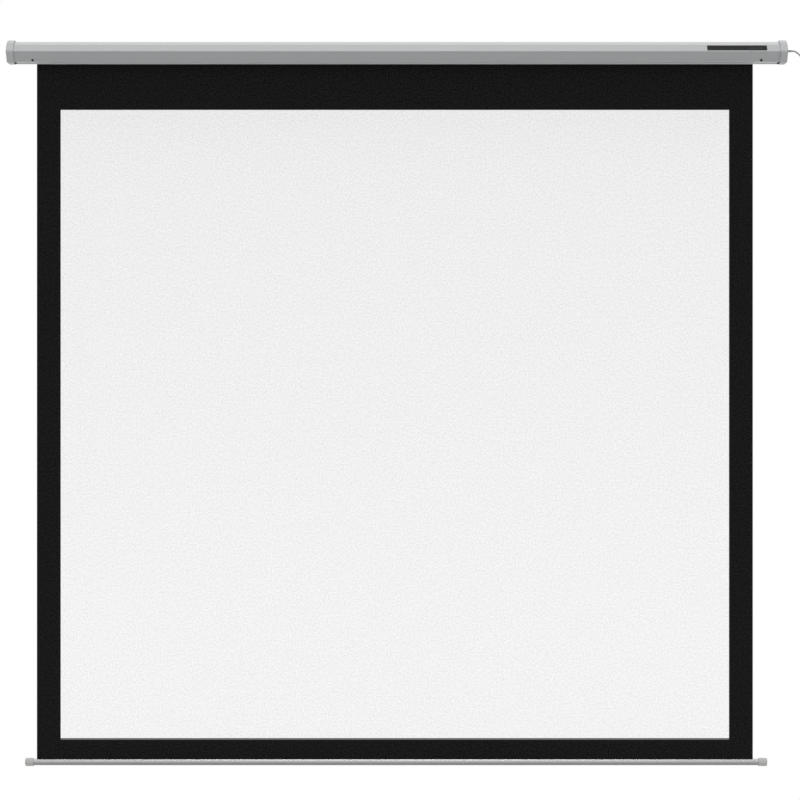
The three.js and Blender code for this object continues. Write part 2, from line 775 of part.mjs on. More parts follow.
function makeIdler() {
  const [mouth, floor] = [rollerX + idlerSleeve, rollerX - touchGap];
  const flangeStart = floor - idlerFlange;
  const cup = prism(insideKey(fitRadius), floor - idlerFlange / 2, mouth);
  const flange = rod(flangeRadius, flangeStart, floor, axisY, axisZ, 48);
  const cupInner = fitRadius - idlerWall;
  const hollow = ring(idlerHub, cupInner, rollerX + idlerWall, mouth + overrun);
  const cupSolid = solidOf(carved([cup, flange], [hollow]));
  const ribs = [];
  for (let i = 0; i < idlerRibs; i += 1) {
    const rib = new THREE.BoxGeometry(idlerSleeve - idlerWall, cupInner - idlerHub + idlerWall, idlerRib);
    rib.translate(rollerX + (idlerSleeve + idlerWall) / 2, (cupInner + idlerHub) / 2, 0);
    rib.rotateX((2 * Math.PI * (i + 0.5)) / idlerRibs);
    ribs.push(rib.translate(0, axisY, axisZ));
  }
  const ribbed = ribs.reduce((whole, rib) => whole.add(solidOf(rib)), cupSolid);
  const bore = rod(pinRadius + touchGap, flangeStart - overrun, mouth + overrun);
  addPiece("idler_plug", geometryOf(ribbed.subtract(solidOf(bore))), blackPlastic);
  const pinEnd = -bracketX - bracketPlate - pinReach;
  const pinProfile = [
    [0, pinEnd],
    [pinRadius - pinEdge, pinEnd],
    [pinRadius, pinEnd + pinEdge],
    [pinRadius, mouth],
    [0, mouth],
  ];
  addPiece("idler_pin", turned(pinProfile, axisY, axisZ, 28), zinc);
  const inner = pinRadius + touchGap;
  const bushEnd = -bracketX - bracketPlate;
  const shoulder = -bracketX + touchGap;
  const bushProfile = [
    [inner, bushEnd],
    [bushRadius, bushEnd],
    [bushRadius, shoulder],
    [bushFlange.radius, shoulder],
    [bushFlange.radius, shoulder + bushFlange.thickness],
    [inner, shoulder + bushFlange.thickness],
    [inner, bushEnd],
  ];
  addPiece("idler_bush", turned(bushProfile, axisY, axisZ, 32), greyPlastic);
}

// Control box under the case's top, beside the motor's boss

function makeControlBox() {
  const { length, depth, height, corner, seam } = boxSize;
  const [top, back] = [caseTop - caseWall - touchGap, -boxBack];
  const outline = rounded(
    [
      new THREE.Vector2(back, top),
      new THREE.Vector2(back - depth, top),
      new THREE.Vector2(back - depth, top - height),
      new THREE.Vector2(back, top - height),
    ],
    corner,
    true
  );
  const start = bracketX + bracketPlate + boxRoom;
  const end = start + length;
  const lid = start + length * boxLidShare;
  const body = prism(outline, start, end);
  const inside = rounded(
    [
      new THREE.Vector2(back - seam, top + seam),
      new THREE.Vector2(back - depth + seam, top + seam),
      new THREE.Vector2(back - depth + seam, top - height + seam),
      new THREE.Vector2(back - seam, top - height + seam),
    ],
    corner,
    true
  );
  const outside = [
    new THREE.Vector2(overrun, top + overrun),
    new THREE.Vector2(-back - 2 * depth, top + overrun),
    new THREE.Vector2(-back - 2 * depth, top - height - overrun),
    new THREE.Vector2(overrun, top - height - overrun),
  ];
  const groove = prism(outside, lid - seam / 2, lid + seam / 2, [inside]);
  const [exitY, exitZ] = [back - depth / 2, top - height / 2];
  const exit = rod(boxGland.radius, end - corner, end + boxGland.length, exitY, exitZ, 20);
  addPiece("control_box", carved([body, exit], [groove]), blackPlastic);
}

// Screen cloth: a thin black sheet and its matt white coat

function makeCloth() {
  const foot = barZ + barInner - clothBase;
  addPiece("screen_fabric", box(clothLeft, clothRight, clothMid, clothBack, foot, clothTop), blackCloth);
  const [left, right] = [clothShift - pictureWidth / 2, clothShift + pictureWidth / 2];
  const top = axisZ - topBorder;
  const coat = box(left, right, clothFront, clothMid, top - pictureHeight, top);
  addPiece("viewing_surface", coat, whiteCoat);
}

// Bottom bar

function barSection(outer, inner, sides = 40) {
  const points = [];
  const start = Math.asin(barSlot / 2 / outer);
  const innerStart = Math.asin(barSlot / 2 / inner);
  for (let i = 0; i <= sides; i += 1) {
    const angle = start + ((2 * Math.PI - 2 * start) * i) / sides;
    points.push(new THREE.Vector2(barY + outer * Math.sin(angle), barZ + outer * Math.cos(angle)));
  }
  for (let i = sides; i >= 0; i -= 1) {
    const angle = innerStart + ((2 * Math.PI - 2 * innerStart) * i) / sides;
    points.push(new THREE.Vector2(barY + inner * Math.sin(angle), barZ + inner * Math.cos(angle)));
  }
  return points;
}

function makeBar() {
  const [start, end] = [barMouths.left - barCapSeat, barMouths.right + barCapSeat];
  addPiece("bar_tube", prism(barSection(barRadius, barInner), start, end), paint);
  const hemZ = barZ + barInner - clothBase - touchGap - hemRadius;
  const hem = rod(hemRadius, clothLeft, clothRight, barY, hemZ, 20);
  addPiece("hem_rod", hem, zinc);
  const seat = barCapSeat + touchGap;
  const bore = barRadius + touchGap;
  const edge = new THREE.QuadraticBezierCurve(
    new THREE.Vector2(barCapRadius, barCapLength - barCapEdge),
    new THREE.Vector2(barCapRadius, barCapLength),
    new THREE.Vector2(barCapRadius - barCapEdge, barCapLength)
  );
  const profile = [
    [0, seat],
    [bore, seat],
    [bore, 0],
    [barCapRadius - barCapMouthEdge, 0],
    [barCapRadius, barCapMouthEdge],
    ...edge.getPoints(5).map((p) => [p.x, p.y]),
    [0, barCapLength],
  ];
  const right = addPiece("bar_cap_right", turned(profile, barY, barZ, 36), capPlastic);
  right.position.x = barMouths.right;
  const left = addPiece("bar_cap_left", turned(profile, barY, barZ, 36), capPlastic, true);
  left.position.x = barMouths.left;
}

// Cord, its gland in the right cap, its coil, tie and plug

const cordY = axisY + cordShift;
const cordZ = axisZ + cordRise;
const glandEnd = capEnd + touchGap + gland.length;
const cordStart = glandEnd + touchGap;
const routeEnd = cordRoute[cordRoute.length - 1];
const coilX = cordStart + routeEnd[0] + touchGap + cordDiameter;
const coilZ = cordZ + routeEnd[1] - coilRadius;
const tailX = coilX + coilRadius;
const tailZ = coilZ - cordDiameter - touchGap;
const plugTop = tailZ - tailDrop - touchGap;

function makeGland() {
  const neck = capEnd - capWall - touchGap;
  const collarStart = capEnd + touchGap;
  const collarEnd = collarStart + gland.collarLength;
  const taper = (x) =>
    gland.root + ((gland.tip - gland.root) * (x - collarEnd)) / (glandEnd - collarEnd);
  const pitch = (glandEnd - collarEnd) / (glandGroove.count + glandGroove.endShare);
  const grooves = [];
  for (let i = 0; i < glandGroove.count; i += 1) {
    const x = collarEnd + pitch * (i + glandGroove.startShare);
    const far = x + glandGroove.width;
    grooves.push([taper(x), x], [taper(x) - glandGroove.depth, x]);
    grooves.push([taper(far) - glandGroove.depth, far], [taper(far), far]);
  }
  const profile = [
    [0, neck - glandClip],
    [gland.clip - glandGroove.depth, neck - glandClip],
    [gland.clip, neck],
    [glandNeck, neck],
    [glandNeck, collarStart],
    [gland.collar, collarStart],
    [gland.collar, collarEnd - glandGroove.depth],
    [gland.collar - glandGroove.depth, collarEnd],
    [gland.root, collarEnd],
    ...grooves,
    [gland.tip, glandEnd],
    [0, glandEnd],
  ];
  addPiece("strain_relief", turned(profile, cordY, cordZ, 28), cordPlastic);
}

// Joins rings of points into one closed tube.
function tubeOfRings(rings) {
  const sides = rings[0].length;
  const points = rings.flat();
  const faces = [];
  for (let i = 0; i + 1 < rings.length; i += 1) {
    for (let k = 0; k < sides; k += 1) {
      const [a, b] = [i * sides + k, i * sides + ((k + 1) % sides)];
      faces.push(a, b, a + sides, b, b + sides, a + sides);
    }
  }
  const last = (rings.length - 1) * sides;
  for (let k = 1; k + 1 < sides; k += 1) {
    faces.push(0, k + 1, k, last, last + k, last + k + 1);
  }
  const geometry = new THREE.BufferGeometry().setFromPoints(points);
  geometry.setIndex(faces);
  return geometry;
}

// A ring of points round a centre, square to the direction of travel, which stays in X and Z.
function ringAt(center, direction, radius, sides) {
  const across = new THREE.Vector3(direction.z, 0, -direction.x);
  const side = new THREE.Vector3().crossVectors(direction, across);
  return Array.from({ length: sides }, (unused, k) => {
    const angle = (2 * Math.PI * (k + 0.5)) / sides;
    const point = center.clone().addScaledVector(across, radius * Math.cos(angle));
    return point.addScaledVector(side, radius * Math.sin(angle));
  });
}

// The coil's middle line: it spirals in, climbs a layer in a half turn, and spirals out again.
function coilPoint(turn) {
  const half = coilTurns / 2;
  const climb = THREE.MathUtils.smoothstep(turn, half - climbTurns / 2, half + climbTurns / 2);
  const radius = coilRadius - coilPitch * (half - Math.abs(turn - half));
  const angle = Math.PI / 2 - 2 * Math.PI * turn;
  const layer = cordY + coilPitch * climb;
  return new THREE.Vector3(coilX + radius * Math.cos(angle), layer, coilZ + radius * Math.sin(angle));
}

function coilLine() {
  const count = Math.round(coilTurns * coilSteps);
  const line = [new THREE.Vector3(coilX - cordDiameter, cordY, coilZ + coilRadius)];
  for (let i = 0; i <= count; i += 1) {
    line.push(coilPoint((coilTurns * i) / count));
  }
  const end = line[line.length - 1];
  line.push(end.clone().setZ(end.z - cordDiameter));
  return line;
}

// The least gap between stretches of a tube that aren't neighbours.
function leastGap(line, diameter) {
  const lengths = [0];
  line.slice(1).forEach((point, i) => {
    lengths.push(lengths[i] + point.distanceTo(line[i]));
  });
  const nearest = new THREE.Vector3();
  let least = Infinity;
  line.forEach((point, i) => {
    for (let k = 0; k + 1 < line.length; k += 1) {
      const apart = Math.min(Math.abs(lengths[i] - lengths[k]), Math.abs(lengths[i] - lengths[k + 1]));
      if (apart < 3 * diameter) continue;
      new THREE.Line3(line[k], line[k + 1]).closestPointToPoint(point, true, nearest);
      least = Math.min(least, point.distanceTo(nearest) - diameter);
    }
  });
  return least;
}

function makeCoil() {
  const line = coilLine();
  const rings = line.map((point, i) => {
    const before = line[Math.max(i - 1, 0)];
    const after = line[Math.min(i + 1, line.length - 1)];
    const direction = after.clone().sub(before).setY(0).normalize();
    if (i < 2) direction.set(1, 0, 0);
    if (i > line.length - 3) direction.set(0, 0, -1);
    return ringAt(point, direction, cordDiameter / 2, coilSides);
  });
  addPiece("cord_coil", tubeOfRings(rings), cordPlastic);
  console.log("cord_coil least gap to itself", leastGap(line, cordDiameter).toFixed(3), "mm");
}

function cordSection(radius) {
  const shape = new THREE.Shape();
  for (let k = 0; k < cordSides; k += 1) {
    const angle = (2 * Math.PI * (k + 0.5)) / cordSides;
    const [x, y] = [radius * Math.cos(angle), radius * Math.sin(angle)];
    if (k) shape.lineTo(x, y);
    else shape.moveTo(x, y);
  }
  return shape;
}

function makeCord() {
  const points = cordRoute.map(([x, z]) => new THREE.Vector3(cordStart + x, cordY, cordZ + z));
  const route = new THREE.CatmullRomCurve3(points, false, "centripetal");
  const steps = Math.ceil(route.getLength() / (2 * cordDiameter));
  const lead = new THREE.ExtrudeGeometry(cordSection(cordDiameter / 2), { steps, extrudePath: route });
  addPiece("power_cord", lead, cordPlastic);
  const tailTop = new THREE.Vector3(tailX, coilPoint(coilTurns).y, tailZ);
  const tail = cylinderAlong(cordDiameter / 2, tailTop, new THREE.Vector3(0, 0, -1), tailDrop, cordSides);
  addPiece("cord_tail", tail, cordPlastic);
}

function rectangle(halfWidth, halfHeight, corner) {
  const corners = [
    new THREE.Vector2(-halfWidth, -halfHeight),
    new THREE.Vector2(halfWidth, -halfHeight),
    new THREE.Vector2(halfWidth, halfHeight),
    new THREE.Vector2(-halfWidth, halfHeight),
  ];
  return rounded(corners, corner, true);
}

// A strap round all the coil's loops.
function makeTie() {
  const innermost = coilRadius - (coilPitch * coilTurns) / 2;
  const halfRadial = (coilRadius - innermost + cordDiameter) / 2 + tie.room;
  const halfDepth = (coilPitch + cordDiameter) / 2 + tie.room;
  const shape = new THREE.Shape(
    rectangle(halfRadial + tie.thickness, halfDepth + tie.thickness, tie.corner + tie.thickness)
  );
  shape.holes = [new THREE.Path(rectangle(halfRadial, halfDepth, tie.corner))];
  const band = new THREE.ExtrudeGeometry(shape, { depth: tie.width, bevelEnabled: false });
  band.translate((coilRadius + innermost) / 2, 0, -tie.width / 2);
  band.rotateY(-radians(tie.degrees));
  const mesh = addPiece("cord_tie", band, blackPlastic);
  mesh.position.set(coilX, cordY + coilPitch / 2, coilZ);
}

// A flat two-pin plug, its neck up and its pins down.
function makePlug() {
  const middle = coilPoint(coilTurns).y;
  const stations = [
    [0, plug.neck, plug.neck],
    [plug.neckLength, plug.neckFoot, plug.neckFoot],
    ...plugShares.map(([along, thick, wide]) => [
      plug.neckLength + plug.length * along,
      plug.thickness * thick,
      plug.width * wide,
    ]),
  ];
  const rounding = (share) => Math.sign(share) * Math.abs(share) ** plugSquareness;
  const rings = stations.map(([drop, halfX, halfY]) =>
    Array.from({ length: plugSides }, (unused, k) => {
      const angle = (2 * Math.PI * (k + 0.5)) / plugSides;
      const x = halfX * rounding(Math.cos(angle));
      const y = halfY * rounding(Math.sin(angle));
      return new THREE.Vector3(tailX + x, middle - y, plugTop - drop);
    })
  );
  const face = plugTop - plug.neckLength - plug.length;
  const down = new THREE.Vector3(0, 0, -1);
  const pinPlaces = [-0.5, 0.5].map((share) => middle + share * plugPin.spacing);
  const sockets = pinPlaces.map((y) =>
    cylinderAlong(
      plugPin.radius + touchGap,
      new THREE.Vector3(tailX, y, face + plugPin.seat + touchGap),
      down,
      plugPin.seat + overrun
    )
  );
  addPiece("plug_body", carved([tubeOfRings(rings)], sockets), cordPlastic);
  ["plug_pin_front", "plug_pin_rear"].forEach((name, i) => {
    const length = plugPin.seat + plugPin.length;
    const points = [
      new THREE.Vector2(0, -length),
      new THREE.Vector2(plugPin.radius - plugPin.tip, -length),
      new THREE.Vector2(plugPin.radius, plugPin.tip - length),
      new THREE.Vector2(plugPin.radius, 0),
      new THREE.Vector2(0, 0),
    ];
    const pin = new THREE.LatheGeometry(points, 20).rotateX(Math.PI / 2);
    const mesh = addPiece(name, pin, brass);
    mesh.position.set(tailX, pinPlaces[i], face + plugPin.seat);
  });
}

makeCase();
makeCaps();
makeScrews();
makeBrackets();
makeHangers();
makeRoller();
makeDrive();
makeMotor();
makeHead();
makeSetScrews();
makeCrown();
makeIdler();
makeControlBox();
makeCloth();
makeBar();
makeGland();
makeCord();
makeCoil();
makeTie();
makePlug();

export default screen;
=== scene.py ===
import math

import bmesh
import bpy
from mathutils import Matrix, Vector


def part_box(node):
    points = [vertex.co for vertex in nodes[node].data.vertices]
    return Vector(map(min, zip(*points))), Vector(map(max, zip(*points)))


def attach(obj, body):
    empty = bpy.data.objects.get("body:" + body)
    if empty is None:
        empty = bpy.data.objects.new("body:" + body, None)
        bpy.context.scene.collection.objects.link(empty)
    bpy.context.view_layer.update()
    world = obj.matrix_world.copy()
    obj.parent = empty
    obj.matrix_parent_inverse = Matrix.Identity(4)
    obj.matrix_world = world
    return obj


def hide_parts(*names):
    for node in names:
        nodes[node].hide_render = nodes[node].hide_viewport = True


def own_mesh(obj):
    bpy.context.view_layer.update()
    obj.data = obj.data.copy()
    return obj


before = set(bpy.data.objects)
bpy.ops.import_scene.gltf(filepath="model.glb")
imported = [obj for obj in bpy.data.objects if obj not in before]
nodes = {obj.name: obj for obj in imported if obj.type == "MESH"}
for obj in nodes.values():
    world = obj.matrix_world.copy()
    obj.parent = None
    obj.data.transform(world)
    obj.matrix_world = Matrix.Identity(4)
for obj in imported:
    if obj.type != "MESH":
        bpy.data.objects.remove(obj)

collection = bpy.context.scene.collection
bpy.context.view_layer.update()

# The view: a level camera square to the screen and 8.5 m in front of the wall, a little below the
# middle of the cloth. Its 36 mm sensor takes in 2.235 m at the cloth.
camera_across, camera_distance, camera_height = 0.00846, 8.5, -0.969
camera_data = bpy.data.cameras.new("camera")
camera_data.sensor_width = 36
camera_data.lens = 136.7
camera = bpy.data.objects.new("camera", camera_data)
camera.location = (camera_across, -camera_distance, camera_height)
camera.rotation_euler = (math.radians(90), 0, 0)
collection.objects.link(camera)
bpy.context.scene.camera = camera
bpy.context.scene.view_settings.view_transform = "Standard"


# The studio: a white surround, even light from all sides that is weaker from below, one wide
# soft lamp high in front, a narrow one overhead and one high behind, and a pale floor.
def feed(tree, socket, term):
    if isinstance(term, bpy.types.NodeSocket):
        tree.links.new(term, socket)
    else:
        socket.default_value = term


def reckon(tree, operation, *terms):
    step = tree.nodes.new("ShaderNodeMath")
    step.operation = operation
    for socket, term in zip(step.inputs, terms):
        feed(tree, socket, term)
    return step.outputs[0]


def ramp(tree, value, start, end, low=0.0, high=1.0):
    scale = tree.nodes.new("ShaderNodeMapRange")
    tree.links.new(value, scale.inputs["Value"])
    scale.inputs["From Min"].default_value = start
    scale.inputs["From Max"].default_value = end
    scale.inputs["To Min"].default_value = low
    scale.inputs["To Max"].default_value = high
    return scale.outputs["Result"]


def place_in(tree, kind):
    return tree.nodes.new("ShaderNodeTexCoord").outputs[kind]


def apart(tree, vector):
    split = tree.nodes.new("ShaderNodeSeparateXYZ")
    tree.links.new(vector, split.inputs[0])
    return split.outputs


light_band = 0.6
light_below, light_above = 0.56, 0.59
world = bpy.data.worlds.new("studio")
world.use_nodes = True
bpy.context.scene.world = world
tree = world.node_tree
tree.nodes.clear()
path = tree.nodes.new("ShaderNodeLightPath").outputs
seen = reckon(tree, "MAXIMUM", path["Is Camera Ray"], path["Is Glossy Ray"])
through = reckon(tree, "MAXIMUM", seen, path["Is Transmission Ray"])
height = apart(tree, place_in(tree, "Generated"))["Z"]
light = ramp(tree, height, -light_band, light_band, light_below, light_above)
choice = tree.nodes.new("ShaderNodeMixShader")
tree.links.new(through, choice.inputs[0])
for strength, socket in ((light, choice.inputs[1]), (1.0, choice.inputs[2])):
    background = tree.nodes.new("ShaderNodeBackground")
    background.inputs["Color"].default_value = (1, 1, 1, 1)
    feed(tree, background.inputs["Strength"], strength)
    tree.links.new(background.outputs[0], socket)
output = tree.nodes.new("ShaderNodeOutputWorld")
tree.links.new(choice.outputs[0], output.inputs["Surface"])

for lamp_name, strength, elevation, softness in (
    ("front_lamp", 1.28, 40, 110),
    ("top_lamp", 0.26, 79, 12),
    ("back_lamp", 0.72, 127, 60),
):
    lamp_data = bpy.data.lights.new(lamp_name, "SUN")
    lamp_data.energy = strength
    lamp_data.angle = math.radians(softness)
    lamp = bpy.data.objects.new(lamp_name, lamp_data)
    lamp.rotation_euler = (math.radians(90 - elevation), 0, 0)
    collection.objects.link(lamp)


def new_surface(name, colour, roughness, metallic=0.0, specular=0.5):
    surface = bpy.data.materials.new(name)
    surface.use_nodes = True
    shader = surface.node_tree.nodes["Principled BSDF"]
    shader.inputs["Base Color"].default_value = (*colour, 1)
    shader.inputs["Roughness"].default_value = roughness
    shader.inputs["Metallic"].default_value = metallic
    shader.inputs["Specular IOR Level"].default_value = specular
    return surface, shader


sorting_line = Vector((1, 100, 10000))


def sort_faces(bm):
    # Spin and extrude leave the faces in an order that changes from run to run.
    bm.faces.sort(key=lambda face: face.calc_center_median() @ sorting_line)


def piece_from(bm, name, *surfaces):
    sort_faces(bm)
    mesh = bpy.data.meshes.new(name)
    bm.to_mesh(mesh)
    bm.free()
    for surface in surfaces:
        mesh.materials.append(surface)
    piece = bpy.data.objects.new(name, mesh)
    collection.objects.link(piece)
    return piece


floor_half_size = (3.2, 2.5, 1)
floor_middle = (0, -0.65, -2.35)
floor_glow = 0.4
floor_surface, floor_shader = new_surface("floor_paint", (0.76, 0.76, 0.76), 0.7)
tree = floor_surface.node_tree
camera_ray = tree.nodes.new("ShaderNodeLightPath").outputs["Is Camera Ray"]
floor_shader.inputs["Emission Color"].default_value = (1, 1, 1, 1)
glow = reckon(tree, "MULTIPLY", camera_ray, floor_glow)
tree.links.new(glow, floor_shader.inputs["Emission Strength"])
bm = bmesh.new()
bmesh.ops.create_grid(bm, x_segments=1, y_segments=1, size=1)
bmesh.ops.scale(bm, vec=floor_half_size, verts=bm.verts)
bmesh.ops.translate(bm, vec=floor_middle, verts=bm.verts)
floor = piece_from(bm, "floor", floor_surface)


# The case: bent sheet steel in a satin silver-grey paint, open at both ends and along the slot
# under the roller. Fine orange peel and softly broken edges mark it, and its lip in front of the
# slot, where the bottom bar parks, is painted paler: painted light standing in for light on it.
def tint(red, green, blue):
    return tuple(((v / 255 + 0.055) / 1.055) ** 2.4 for v in (red, green, blue))


def effect_group(name, given, given_out):
    group = bpy.data.node_groups.new(name, "ShaderNodeTree")
    for way, sockets in (("INPUT", given), ("OUTPUT", given_out)):
        for label, kind in sockets.items():
            group.interface.new_socket(label, in_out=way, socket_type="NodeSocket" + kind)
    source = group.nodes.new("NodeGroupInput").outputs
    result = group.nodes.new("NodeGroupOutput").inputs
    return group, source, result


grain_group, given, result = effect_group(
    "grain",
    {"Vector": "Vector", "Scale": "Float", "Spread": "Float"},
    {"Tone": "Float", "Rise": "Float"},
)
noise = grain_group.nodes.new("ShaderNodeTexNoise")
noise.inputs["Detail"].default_value = 3
grain_group.links.new(given["Vector"], noise.inputs["Vector"])
grain_group.links.new(given["Scale"], noise.inputs["Scale"])
centred = reckon(grain_group, "SUBTRACT", noise.outputs["Fac"], 0.5)
tone = reckon(grain_group, "MULTIPLY_ADD", centred, given["Spread"], 1)
grain_group.links.new(tone, result["Tone"])
grain_group.links.new(noise.outputs["Fac"], result["Rise"])

fully_worn = 0.25
patches_per_metre = 60
patch_start, patch_end = 0.4, 0.7
edge_group, given, result = effect_group(
    "edges",
    {"Vector": "Vector", "Radius": "Float"},
    {"Wear": "Float", "Normal": "Vector"},
)
rounded = edge_group.nodes.new("ShaderNodeBevel")
edge_group.links.new(given["Radius"], rounded.inputs["Radius"])
flat = edge_group.nodes.new("ShaderNodeNewGeometry")
agreement = edge_group.nodes.new("ShaderNodeVectorMath")
agreement.operation = "DOT_PRODUCT"
edge_group.links.new(rounded.outputs[0], agreement.inputs[0])
edge_group.links.new(flat.outputs["True Normal"], agreement.inputs[1])
turned = reckon(edge_group, "SUBTRACT", 1, agreement.outputs["Value"])
rubbed = edge_group.nodes.new("ShaderNodeTexNoise")
rubbed.inputs["Scale"].default_value = patches_per_metre
rubbed.inputs["Detail"].default_value = 4
edge_group.links.new(given["Vector"], rubbed.inputs["Vector"])
patches = ramp(edge_group, rubbed.outputs["Fac"], patch_start, patch_end)
sharp = ramp(edge_group, turned, 0.0, fully_worn)
edge_group.links.new(reckon(edge_group, "MULTIPLY", sharp, patches), result["Wear"])
edge_group.links.new(rounded.outputs[0], result["Normal"])


def add_effect(tree, group, vector, **settings):
    effect = tree.nodes.new("ShaderNodeGroup")
    effect.node_tree = group
    for label, value in settings.items():
        effect.inputs[label].default_value = value
    tree.links.new(vector, effect.inputs["Vector"])
    return effect.outputs


def toned(tree, colour, factor):
    scaled = tree.nodes.new("ShaderNodeVectorMath")
    scaled.operation = "SCALE"
    feed(tree, scaled.inputs[0], colour)
    tree.links.new(factor, scaled.inputs["Scale"])
    return scaled.outputs[0]


def bumped(tree, shader, rise, depth, normal=None):
    bump = tree.nodes.new("ShaderNodeBump")
    bump.inputs["Distance"].default_value = depth
    tree.links.new(rise, bump.inputs["Height"])
    if normal:
        tree.links.new(normal, bump.inputs["Normal"])
    tree.links.new(bump.outputs[0], shader.inputs["Normal"])


clouds_per_metre = 9
gloss_coarseness = 4
edge_polish = 0.2


def worked_surface(
    name,
    colour,
    roughness,
    metallic=0.0,
    specular=0.5,
    cloud=0.03,
    grain=900,
    depth=0.00002,
    stretch=(1, 1, 1),
    rub=0.1,
    radius=0.0004,
    sheen=0.15,
):
    surface, shader = new_surface(name, colour, roughness, metallic, specular)
    tree = surface.node_tree
    place = place_in(tree, "Object")
    mapping = tree.nodes.new("ShaderNodeMapping")
    mapping.inputs["Scale"].default_value = stretch
    tree.links.new(place, mapping.inputs["Vector"])
    drawn = mapping.outputs[0]
    clouds = add_effect(tree, grain_group, place, Scale=clouds_per_metre, Spread=cloud)
    fine = add_effect(tree, grain_group, drawn, Scale=grain, Spread=cloud)
    edges = add_effect(tree, edge_group, place, Radius=radius)
    even = reckon(tree, "MULTIPLY", clouds["Tone"], fine["Tone"])
    worn = reckon(tree, "MULTIPLY_ADD", edges["Wear"], rub, even)
    tree.links.new(toned(tree, colour, worn), shader.inputs["Base Color"])
    gloss = add_effect(tree, grain_group, drawn, Scale=grain / gloss_coarseness, Spread=sheen)
    polished = reckon(tree, "MULTIPLY_ADD", edges["Wear"], -edge_polish, gloss["Tone"])
    tree.links.new(reckon(tree, "MULTIPLY", polished, roughness), shader.inputs["Roughness"])
    bumped(tree, shader, fine["Rise"], depth, edges["Normal"])
    return surface


def dress(surface, *names):
    for name in names:
        for slot in nodes[name].material_slots:
            slot.material = surface


case_paint = worked_surface(
    "case_paint", tint(158, 159, 160), 0.34, 0.15, grain=700, depth=0.00003, radius=0.0012
)
# Painted light: below the lip's top and in front of its back edge the paint is made paler.
lip_top, lip_back, lip_painted_light = -0.0275, -0.0206, 0.45
tree = case_paint.node_tree
case_colour = tree.nodes["Principled BSDF"].inputs["Base Color"]
spot = apart(tree, place_in(tree, "Object"))
below = reckon(tree, "LESS_THAN", spot["Z"], lip_top)
in_front = reckon(tree, "LESS_THAN", spot["Y"], lip_back)
painted_light_mask = reckon(tree, "MULTIPLY", below, in_front)
painted_light_factor = reckon(tree, "MULTIPLY_ADD", painted_light_mask, lip_painted_light, 1)
tree.links.new(toned(tree, case_colour.links[0].from_socket, painted_light_factor), case_colour)
dress(case_paint, "case_shell")

# Brackets and hanger plates: stamped sheet steel with a bright zinc coat, streaked the way the
# strip was rolled. The brackets stand inside the case's ends, and the plates hook over its back.
zinc = worked_surface(
    "zinc",
    tint(196, 200, 204),
    0.4,
    0.95,
    cloud=0.08,
    grain=260,
    depth=0.00001,
    stretch=(0.04, 1, 1),
)
dress(zinc, "motor_bracket", "idler_bracket", "hanger_plate_left", "hanger_plate_right")

# Roller: a drawn steel tube on a plastic plug and a pin at its idle end. The pin turns in a pale
# acetal bush that is pressed into the idler bracket.
tube_steel = worked_surface(
    "tube_steel",
    tint(172, 174, 176),
    0.32,
    0.95,
    cloud=0.06,
    grain=500,
    depth=0.000006,
    stretch=(0.03, 1, 1),
)
dress(tube_steel, "roller_tube", "idler_pin")
black_plastic = worked_surface(
    "black_plastic", tint(32, 32, 34), 0.5, cloud=0.1, grain=1400, depth=0.00003, rub=0.6
)
dress(black_plastic, "idler_plug")
bush_plastic = worked_surface(
    "bush_plastic", tint(150, 152, 154), 0.45, cloud=0.04, grain=1200, depth=0.00001
)
dress(bush_plastic, "idler_bush")

# Motor: a dark painted steel tube inside the roller, with its gearbox and a shaft of bright steel.
# A black plastic head holds it to the bracket, its wheel drives the roller, and the roller turns
# the crown that counts the turns.
motor_paint = worked_surface("motor_paint", tint(52, 54, 58), 0.45, 0.2, cloud=0.06, grain=800)
dress(motor_paint, "motor_tube")
dress(zinc, "motor_shaft", "motor_gearbox")
dress(black_plastic, "motor_head", "limit_crown", "drive_wheel")

# Limit screws: two turned brass screws with slotted heads in the motor's head, which set where the
# cloth stops. The brass is finely grained and a little brighter on its rubbed edges.
brass = worked_surface(
    "brass", tint(206, 176, 104), 0.3, 1.0, cloud=0.08, grain=1800, depth=0.000008, rub=0.2
)
dress(brass, "limit_screw_up", "limit_screw_down")

# Control box: a small moulded housing of grained black plastic at the back of the case's right
# end, beside the motor's bracket, where the mains lead meets the motor's wires.
dress(black_plastic, "control_box")

# Screen cloth: a thin woven sheet, black at the back and round the edges and matt white over the
# picture area, taped to the roller and held at its foot by a rod inside the bottom bar.
cloth_left, cloth_right = -1.0059, 0.9941
sheet_low, sheet_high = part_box("screen_fabric")
picture_low, picture_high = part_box("viewing_surface")
cloth_foot, cloth_top = sheet_low.z, sheet_high.z
cloth_front, cloth_back = picture_low.y, sheet_high.y
cloth_width, cloth_drop = cloth_right - cloth_left, cloth_top - cloth_foot
cloth_size = (cloth_width, cloth_drop)
cloth_cells = 40
threads_per_metre = 700
thread_rise = 0.00004
mottles_per_metre, flecks_per_metre = 210, 1100

weave_group, given, result = effect_group(
    "weave", {"Vector": "Vector", "Threads": "Float"}, {"Rise": "Float"}
)
spot = apart(weave_group, given["Vector"])
waves = []
for axis in ("X", "Y"):
    phase = reckon(weave_group, "MULTIPLY", spot[axis], given["Threads"])
    waves.append(reckon(weave_group, "SINE", phase))
weave_group.links.new(reckon(weave_group, "MULTIPLY", *waves), result["Rise"])


def cloth_surface(name, colour):
    surface, shader = new_surface(name, colour, 0.92, specular=0.05)
    tree = surface.node_tree
    metres = tree.nodes.new("ShaderNodeVectorMath")
    metres.operation = "MULTIPLY"
    metres.inputs[1].default_value = (*cloth_size, 1)
    tree.links.new(place_in(tree, "UV"), metres.inputs[0])
    on_cloth = metres.outputs[0]
    threads = threads_per_metre * 2 * math.pi
    rise = add_effect(tree, weave_group, on_cloth, Threads=threads)["Rise"]
    bumped(tree, shader, rise, thread_rise)
    return surface, shader, on_cloth, rise


